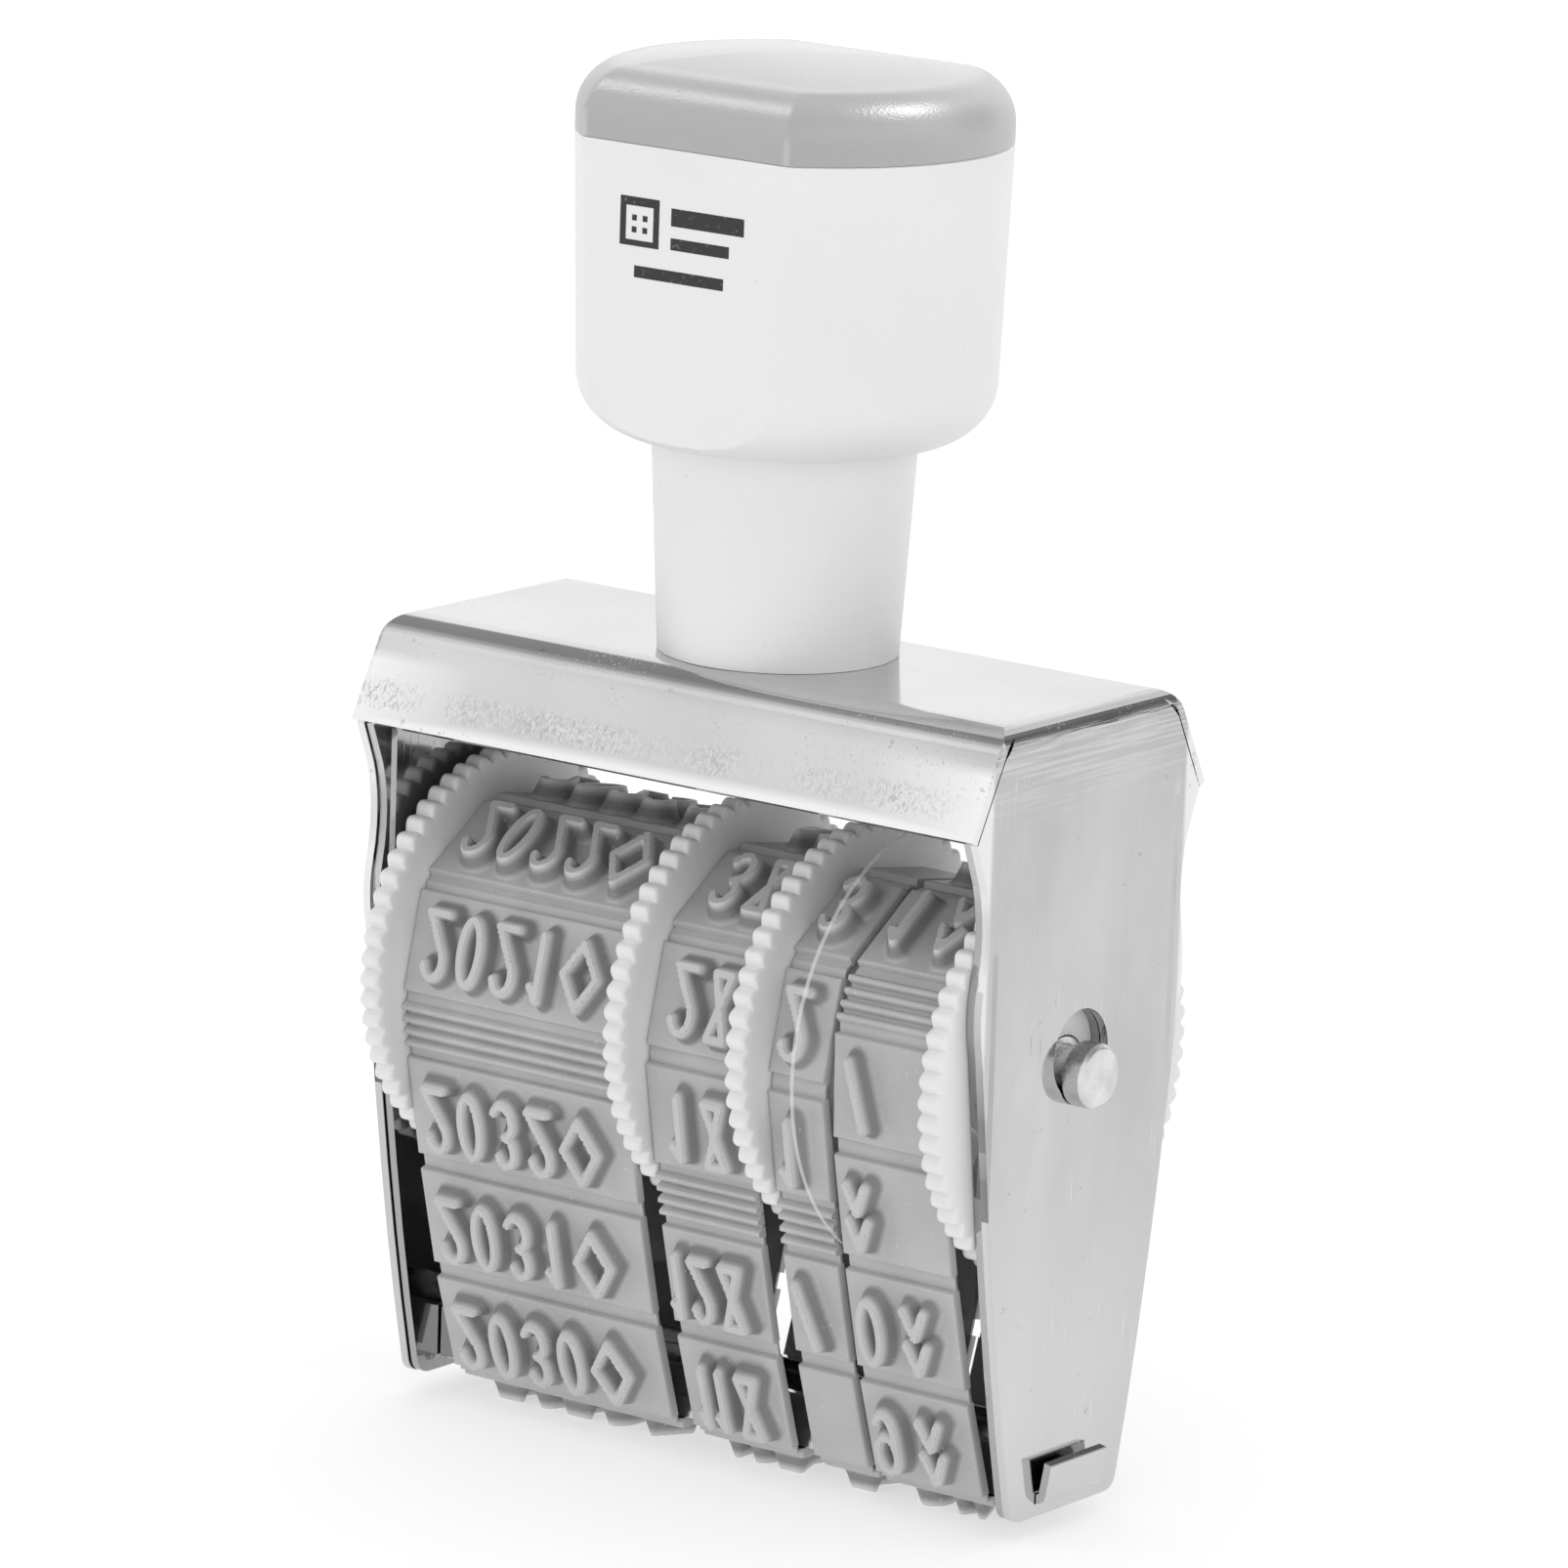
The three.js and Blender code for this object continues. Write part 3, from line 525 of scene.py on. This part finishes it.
# ---- Type ---------------------------------------------------------------------------------------------
def arc(cx, cy, rx, ry, start, end, steps=20):
    """Points of an elliptical arc, in a character's unit box, from start to end degrees."""
    return [(cx + rx * math.cos(math.radians(a)), cy + ry * math.sin(math.radians(a)))
            for a in np.linspace(start, end, steps)]


def turned(strokes):
    """The strokes turned half round in the unit box."""
    return [[(1 - x, 1 - y) for x, y in stroke] for stroke in strokes]


SIX = [arc(0.5, 0.6, 0.5, 0.4, 35, 180) + [(0.0, 0.3)], arc(0.5, 0.3, 0.5, 0.3, 0, 360)]
GLYPHS = {
    "0": [arc(0.5, 0.5, 0.5, 0.5, 0, 360, 32)],
    "1": [[(0.55, 0), (0.55, 1), (0.15, 0.8)]],
    "2": [arc(0.5, 0.74, 0.5, 0.26, 165, -28) + [(0, 0), (1, 0)]],
    "3": [arc(0.48, 0.76, 0.46, 0.24, 155, -90), arc(0.48, 0.26, 0.52, 0.26, 90, -155)],
    "4": [[(0.72, 0), (0.72, 1), (0, 0.3), (1, 0.3)]],
    "5": [[(0.92, 1), (0.14, 1), (0.06, 0.55)] + arc(0.47, 0.31, 0.53, 0.31, 130, -150)],
    "6": SIX,
    "7": [[(0, 1), (1, 1), (0.35, 0)]],
    "8": [arc(0.5, 0.765, 0.42, 0.235, 0, 360), arc(0.5, 0.27, 0.5, 0.27, 0, 360)],
    "9": turned(SIX),
    "/": [[(0.1, 0), (0.9, 1)]],
    "diamond": [[(0.5, 0), (1, 0.5), (0.5, 1), (0, 0.5), (0.5, 0)]],
    "hourglass": [[(0, 0), (1, 0), (0, 1), (1, 1), (0, 0)]],
    "chevrons": [[(0, 0), (0.5, 0.42), (1, 0)], [(0, 0.56), (0.5, 1), (1, 0.56)]],
}


def digits(text, places, width):
    """Each character with the place of its middle and its width."""
    return [(char, place, width) for char, place in zip(text, places)]


def year_cell(index):
    """The year on a cell, and the sign after it."""
    years = {0: 2029, 1: 2030, 2: 2031, 3: 2032}
    year = years.get(index, 2021 + index - 5)
    return digits(str(year), (3.2, 6.25, 9.3, 12.35), 1.6) + [("diamond", 15.9, 2.9)]


def month_cell(index):
    """The month on a cell, and the sign after it."""
    months = {0: 10, 1: 11, 2: 12}
    text = str(months.get(index, index - 3))
    if len(text) == 1:
        return digits(text, (3.5,), 1.6) + [("hourglass", 6.6, 1.4)]
    places = (2.7, 4.2) if text == "11" else (1.9, 3.9)
    return digits(text, places, 1.3) + [("hourglass", 6.6, 1.4)]


def tens_cell(index):
    """The day's first digit, a slash, or nothing."""
    text = {0: "2", 2: "/", 4: "1", 5: "2", 6: "3", 8: "1", 9: "2", 10: "3", 12: "1"}.get(index, "")
    return digits(text, (2.4,), 1.6)


def units_cell(index):
    """The day's second digit and its sign, the sign alone, or a slash."""
    if index == 4:
        return digits("/", (2.8,), 1.6)
    if index == 3:
        return [("chevrons", 2.6, 1.5)]
    values = {0: "8", 1: "9", 2: "0"}
    text = values.get(index, str(index - 5))
    return digits(text, (2.6,), 1.6) + [("chevrons", 6.4, 1.6)]


def stroke_distance(u, v, cell, middle):
    """Distance from each grid point to the nearest stroke of the cell's characters."""
    nearest = np.full(u.shape, 99.0)
    tall = TYPE_HEIGHT - 2 * STROKE_HALF
    for char, place, width in cell:
        for stroke in GLYPHS[char]:
            points = [(place + (x - 0.5) * width, middle - (y - 0.5) * tall) for x, y in stroke]
            for (ax, ay), (bx, by) in zip(points, points[1:]):
                length = (bx - ax) ** 2 + (by - ay) ** 2
                t = np.clip(((u - ax) * (bx - ax) + (v - ay) * (by - ay)) / length, 0, 1)
                away = np.hypot(u - ax - t * (bx - ax), v - ay - t * (by - ay))
                nearest = np.minimum(nearest, away)
    return nearest


# ---- Belts --------------------------------------------------------------------------------------------
def arc_points(cy, cz, radius, start, end, step=0.1):
    """Points along an arc in the (y, z) plane, from start to end in radians, a step apart."""
    count = max(2, int(abs(end - start) * radius / step))
    angle = np.linspace(start, end, count)
    return np.column_stack([cy + radius * np.cos(angle), cz + radius * np.sin(angle)])


def belt_loop():
    """The line that the grooves lie on, from the print face up the front and round, as (y, z)."""
    drum = np.array([0, AXLE_Z])
    corner = np.array([-HINGE_FLAT_HALF, HINGE_BOTTOM_Z + HINGE_CORNER_RADIUS])
    to_drum = SIDE_RUN_RADIUS - HINGE_DRUM_RADIUS
    to_corner = SIDE_RUN_RADIUS - HINGE_CORNER_RADIUS
    between = np.linalg.norm(drum - corner)
    along = (to_corner**2 - to_drum**2 + between**2) / (2 * between)
    across = math.sqrt(to_corner**2 - along**2)
    way = (drum - corner) / between
    centre = corner + way * along + np.array([way[1], -way[0]]) * across
    low = math.atan2(*(corner - centre)[::-1]) % (2 * math.pi)
    high = math.atan2(*(drum - centre)[::-1]) % (2 * math.pi)
    front = [
        np.array([[0, HINGE_BOTTOM_Z]]),
        arc_points(*corner, HINGE_CORNER_RADIUS, 1.5 * math.pi, low, 0.05),
        arc_points(*centre, SIDE_RUN_RADIUS, low, high),
        arc_points(*drum, HINGE_DRUM_RADIUS, high, math.pi / 2),
    ]
    half = np.concatenate(front)
    back = half[::-1] * [-1, 1]
    return np.concatenate([half, back[1:]])


def belt_links(ridge_after):
    """(start, end, direction, outward normal, ridged) of each link, from the bottom one up the front."""
    loop = belt_loop()
    travel = np.concatenate([[0], np.cumsum(np.linalg.norm(np.diff(loop, axis=0), axis=1))])
    pitch = (travel[-1] - RIDGE_LENGTH) / BELT_CELLS
    lengths = [RIDGE_LENGTH if i == ridge_after else pitch for i in range(BELT_CELLS + 1)]
    stops = (np.concatenate([[0], np.cumsum(lengths)]) - pitch / 2) % travel[-1]
    points = np.column_stack([np.interp(stops, travel, loop[:, k]) for k in range(2)])
    links = []
    for i, (a, b) in enumerate(zip(points, points[1:])):
        along = (b - a) / np.linalg.norm(b - a)
        links.append((a, b, along, np.array([-along[1], along[0]]), i == ridge_after))
    return links


def graded(length, step):
    """Places from 0 to length, close together at both ends and a step apart between."""
    edge = [0, 0.05, LIP]
    inner = np.linspace(2 * LIP, length - 2 * LIP, max(2, round((length - 4 * LIP) / step)))
    return np.concatenate([edge, inner, [length - e for e in reversed(edge)]])


def cell_block(link, x0, width, cell):
    """A stiff type cell: its face with the raised type, and its sides down to the belt's inside."""
    a, b, along, out, _ = link
    length = np.linalg.norm(b - a) - GROOVE_WIDTH
    us, vs = graded(width, TYPE_STEP), graded(length, TYPE_STEP)
    u, v = np.meshgrid(us, vs)
    distance = stroke_distance(u, v, cell, length / 2)
    slope_v, slope_u = np.gradient(distance, vs, us)
    steep = np.maximum(slope_u**2 + slope_v**2, LEAST_SLOPE)
    near = np.abs(distance - STROKE_HALF) < TYPE_STEP * 0.55
    shift = np.where(near, STROKE_HALF - distance, 0) / steep
    u, v = u + shift * slope_u, v + shift * slope_v
    outside = np.clip((distance - STROKE_HALF) / STROKE_DRAFT, 0, 1)
    height = np.where(near, 1, (1 - outside) ** DRAFT_CURVE)
    lip = np.minimum(np.minimum(us, width - us)[None, :], np.minimum(vs, length - vs)[:, None])
    rise = CELL_RISE + TYPE_RELIEF * height - LIP * np.clip(1 - lip / LIP, 0, 1) ** 2
    rows, cols = u.shape
    top = np.stack([u.ravel(), v.ravel(), rise.ravel()], axis=1)
    border = ([(0, c) for c in range(cols)] + [(r, cols - 1) for r in range(1, rows)]
              + [(rows - 1, c) for c in range(cols - 2, -1, -1)] + [(r, 0) for r in range(rows - 2, 0, -1)])
    rim = [r * cols + c for r, c in border]
    foot = top[rim] * [1, 1, 0] + [0, 0, INNER_RISE]
    local = np.concatenate([top, foot])
    base = len(top)
    faces = [(r * cols + c, r * cols + c + 1, (r + 1) * cols + c + 1, (r + 1) * cols + c)
             for r in range(rows - 1) for c in range(cols - 1)]
    ring = len(rim)
    faces += [(rim[(i + 1) % ring], rim[i], base + i, base + (i + 1) % ring) for i in range(ring)]
    faces.append(tuple(range(base, base + ring))[::-1])
    relief = np.concatenate([height.ravel(), np.zeros(ring)])
    return to_belt(local, a, along, out, x0, GROOVE_WIDTH / 2), faces, relief


def to_belt(local, a, along, out, x0, start=0.0):
    """Points given as (across, along, rise) on a link, in the frame's axes."""
    section = a + np.outer(local[:, 1] + start, along) + np.outer(local[:, 2], out)
    return np.column_stack([x0 + local[:, 0], section])


def ridge_block(link, x0, width, index):
    """One narrow ridge of the belt's ridged stretch."""
    a, b, along, out, _ = link
    step = np.linalg.norm(b - a) / RIDGE_COUNT
    half = [(0.06, INNER_RISE), (0.14, 0.05), (0.3, 0.5), (0.38, CELL_RISE)]
    section = half + [(1 - s, rise) for s, rise in reversed(half)]
    local = np.array([(x, (index + s) * step, rise) for x in (0, width) for s, rise in section])
    count = len(section)
    faces = [(i, (i + 1) % count, count + (i + 1) % count, count + i) for i in range(count)]
    faces += [tuple(range(count))[::-1], tuple(range(count, 2 * count))]
    return to_belt(local, a, along, out, x0), faces, np.zeros(len(local))


def core_band(links, x0, x1):
    """The thin band that joins the cells: it shows as the floor of the grooves."""
    outer, inner = [], []
    bend_half = 0.35
    for i, (a, b, along, out, _) in enumerate(links):
        bend = out + links[i - 1][3]
        bend /= np.linalg.norm(bend)
        for line, rise in ((outer, CORE_RISE), (inner, INNER_RISE)):
            line += [a + bend * rise, a + along * bend_half + out * rise, b - along * bend_half + out * rise]
    count = len(outer)
    rings = [(x0, outer), (x1, outer), (x1, inner), (x0, inner)]
    verts = np.concatenate([np.column_stack([np.full(count, x), np.array(line)]) for x, line in rings])
    faces = []
    for ring in range(4):
        a, b = ring * count, (ring + 1) % 4 * count
        faces += [(a + i, b + i, b + (i + 1) % count, a + (i + 1) % count) for i in range(count)]
    return verts, faces, np.zeros(len(verts))


def belt_piece(node, ridge_after, cell_text):
    """A whole belt in one mesh: band, type cells and ridges."""
    low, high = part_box(node)
    x0, x1 = low[0] / MM, high[0] / MM
    links = belt_links(ridge_after)
    parts = [core_band(links, x0 + CORE_INSET, x1 - CORE_INSET)]
    for index, link in enumerate(links):
        if link[4]:
            parts += [ridge_block(link, x0, x1 - x0, ridge) for ridge in range(RIDGE_COUNT)]
        else:
            parts.append(cell_block(link, x0, x1 - x0, cell_text(index)))
    verts, faces, relief = [], [], []
    start = 0
    for part_verts, part_faces, part_relief in parts:
        verts.append(part_verts)
        relief.append(part_relief)
        faces += [tuple(start + i for i in face) for face in part_faces]
        start += len(part_verts)
    points = np.concatenate(verts) * MM
    piece = new_piece(node + "_type", points, faces, RUBBER, "frame", node, 38)
    layer = piece.data.attributes.new("relief", "FLOAT", "POINT")
    layer.data.foreach_set("value", np.concatenate(relief).astype(np.float32))
    return piece


# ---- Printed mark -------------------------------------------------------------------------------------
def printed_mark():
    """A plain calendar pictogram and three bars, pad-printed on the head's front flat."""
    flat_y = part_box("handle_body")[0][1] / MM
    frame_bars = [(-5.2, -1.9, 87.9, 88.5), (-5.2, -4.7, 85.2, 87.9), (-2.4, -1.9, 85.2, 87.9),
                  (-4.7, -2.4, 85.2, 85.6)]
    days = [(x, x + 0.4, z, z + 0.4) for x in (-4.2, -3.3) for z in (86.9, 86.1)]
    bars = frame_bars + days + [(-0.9, 5.2, 86.9, 88.1), (-0.9, 4.0, 85.3, 86.1), (-3.9, 3.6, 83.1, 83.9)]
    verts, faces = [], []
    for x0, x1, z0, z1 in bars:
        start = len(verts)
        for y in (flat_y + 0.05, flat_y - 0.012):
            verts += [(x0, y, z0), (x1, y, z0), (x1, y, z1), (x0, y, z1)]
        box = [(0, 1, 2, 3), (7, 6, 5, 4), (0, 4, 5, 1), (1, 5, 6, 2), (2, 6, 7, 3), (3, 7, 4, 0)]
        faces += [tuple(start + i for i in face)[::-1] for face in box]
    return new_piece("printed_mark", np.array(verts) * MM, faces, INK, "frame")


# ---- Build --------------------------------------------------------------------------------------------
refined("outer_cover", "cover_sheet", PLATED, "frame", 0.28)
refined("inner_bracket", "bracket_sheet", SHADED_PLATED, "frame", 0.15)
refined("platen", "platen_channel", PLATED, "frame", 0.15)
refined("axle", "axle_pin", STEEL, "frame", 0.06)
refined("axle_spacer", "spacer_ring", STEEL, "frame", 0.06)
refined("handle_screw", "clamp_screw", STEEL, "frame", 0.08)
refined("screw_washer", "clamp_washer", STEEL, "frame", 0.06)
refined("separator_disc", "clear_separator", CLEAR, "separator_disc", 0.05)
handle_body()
handle_cap()
printed_mark()
for wheel in ("year_wheel", "month_wheel", "tens_wheel", "units_wheel"):
    wheel_piece(wheel)
belt_piece("year_belt", 4, year_cell)
belt_piece("month_belt", 3, month_cell)
belt_piece("tens_belt", 3, tens_cell)
belt_piece("units_belt", 5, units_cell)


# ---- Floor, light and camera --------------------------------------------------------------------------
ROOM_TONES = [(0.0, 1.12), (0.3, 1.15), (0.56, 1.2), (0.68, 0.4), (1.0, 0.3)]
ROOM_FRONT_DIMMING = (-0.6, 0.1, 0.95, 1.0)
SCREEN_DIRECTION = (0.417, 0.855, 0.309)
SCREEN_EDGE = (0.945, 0.975)
SCREEN_TONE = 0.2
OVERHEAD_Z = 2.0
OVERHEAD_SIZE = 3.0
OVERHEAD_POWER = 26
SOFTBOX_SIZE = 0.24
SOFTBOXES = {"left_softbox": ((-0.53, -0.20, 0.80), 1.2), "right_softbox": ((0.35, 0.38, 0.83), 3.2)}
CAP_CENTRE = (0, 0, 0.095)

LENS = 216.3
LENS_SHIFT = (0.0006, 0.0037)
CAMERA_PLACE = (0.37815, -0.49969, 0.18849)
CAMERA_FORWARD = (-0.58776, 0.77839, -0.22054)
CAMERA_ROLL = 1.92


def floor():
    """A wide, plain floor that glows a little, so that it stays even and pale."""
    mesh = bpy.data.meshes.new("floor")
    reach = 6.0
    corners = [(reach * x, reach * y, 0) for x, y in ((-1, -1), (1, -1), (1, 1), (-1, 1))]
    mesh.from_pydata(corners, [], [(0, 1, 2, 3)])
    plane = bpy.data.objects.new("floor", mesh)
    bpy.context.scene.collection.objects.link(plane)
    looks = Nodes("floor_looks")
    tone = looks.mix(looks.noise(3, 2), grey(0.52), grey(0.53))
    mesh.materials.append(looks.finish(Base_Color=tone, Roughness=0.9, Emission_Color=(1, 1, 1, 1),
                                       Emission_Strength=0.52))


def area_light(name, place, target, size, power):
    """A square lamp of the given side, turned to face the target."""
    light = bpy.data.lights.new(name, "AREA")
    light.shape = "SQUARE"
    light.size = size
    light.energy = power
    lamp = bpy.data.objects.new(name, light)
    lamp.location = place
    lamp.rotation_euler = (Vector(target) - Vector(place)).to_track_quat("-Z", "Y").to_euler()
    bpy.context.scene.collection.objects.link(lamp)
    return lamp


def studio():
    """A pale room that darkens overhead, with one dark screen behind on the right, and soft boxes."""
    world = bpy.data.worlds.new("studio")
    bpy.context.scene.world = world
    world.use_nodes = True
    tree = world.node_tree
    place = tree.nodes.new("ShaderNodeTexCoord").outputs["Generated"]
    split = tree.nodes.new("ShaderNodeSeparateXYZ")
    tree.links.new(place, split.inputs["Vector"])
    room = tree.nodes.new("ShaderNodeValToRGB")
    tree.links.new(split.outputs["Z"], room.inputs["Fac"])
    while len(room.color_ramp.elements) < len(ROOM_TONES):
        room.color_ramp.elements.new(0.5)
    for stop, (height, tone) in zip(room.color_ramp.elements, ROOM_TONES):
        stop.position = height
        stop.color = (tone, tone, tone, 1)
    side = tree.nodes.new("ShaderNodeMapRange")
    tree.links.new(split.outputs["Y"], side.inputs["Value"])
    for socket, value in zip(("From Min", "From Max", "To Min", "To Max"), ROOM_FRONT_DIMMING):
        side.inputs[socket].default_value = value
    toward = tree.nodes.new("ShaderNodeVectorMath")
    toward.operation = "DOT_PRODUCT"
    tree.links.new(place, toward.inputs[0])
    toward.inputs[1].default_value = SCREEN_DIRECTION
    edge = tree.nodes.new("ShaderNodeMapRange")
    tree.links.new(toward.outputs["Value"], edge.inputs["Value"])
    edge.inputs["From Min"].default_value = SCREEN_EDGE[0]
    edge.inputs["From Max"].default_value = SCREEN_EDGE[1]
    blend = tree.nodes.new("ShaderNodeMix")
    blend.data_type = "RGBA"
    tree.links.new(edge.outputs["Result"], blend.inputs["Factor"])
    tree.links.new(room.outputs["Color"], blend.inputs[6])
    blend.inputs[7].default_value = grey(SCREEN_TONE)
    background = tree.nodes["Background"]
    tree.links.new(blend.outputs[2], background.inputs["Color"])
    tree.links.new(side.outputs["Result"], background.inputs["Strength"])
    overhead = area_light("overhead", (0, 0, OVERHEAD_Z), (0, 0, 0), OVERHEAD_SIZE, OVERHEAD_POWER)
    overhead.visible_glossy = False
    handle_only = bpy.data.collections.new("handle_only")
    handle_only.objects.link(bpy.data.objects["handle_cap_moulding"])
    for name, (place, power) in SOFTBOXES.items():
        softbox = area_light(name, place, CAP_CENTRE, SOFTBOX_SIZE, power)
        softbox.light_linking.receiver_collection = handle_only


def camera():
    """A long lens in front on the right, looking a little down, and turned slightly about its axis."""
    data = bpy.data.cameras.new("camera")
    data.sensor_width = 36
    data.lens = LENS
    data.shift_x, data.shift_y = LENS_SHIFT
    data.clip_start = 0.01
    view = bpy.data.objects.new("camera", data)
    forward = Vector(CAMERA_FORWARD).normalized()
    level = forward.cross(Vector((0, 0, 1))).normalized()
    roll = math.radians(CAMERA_ROLL)
    upright = level.cross(forward)
    right = level * math.cos(roll) + upright * math.sin(roll)
    up = upright * math.cos(roll) - level * math.sin(roll)
    axes = Matrix((right, up, -forward)).transposed()
    view.matrix_world = Matrix.Translation(CAMERA_PLACE) @ axes.to_4x4()
    bpy.context.scene.collection.objects.link(view)
    bpy.context.scene.camera = view


floor()
studio()
camera()
bpy.context.scene.view_settings.view_transform = "Standard"
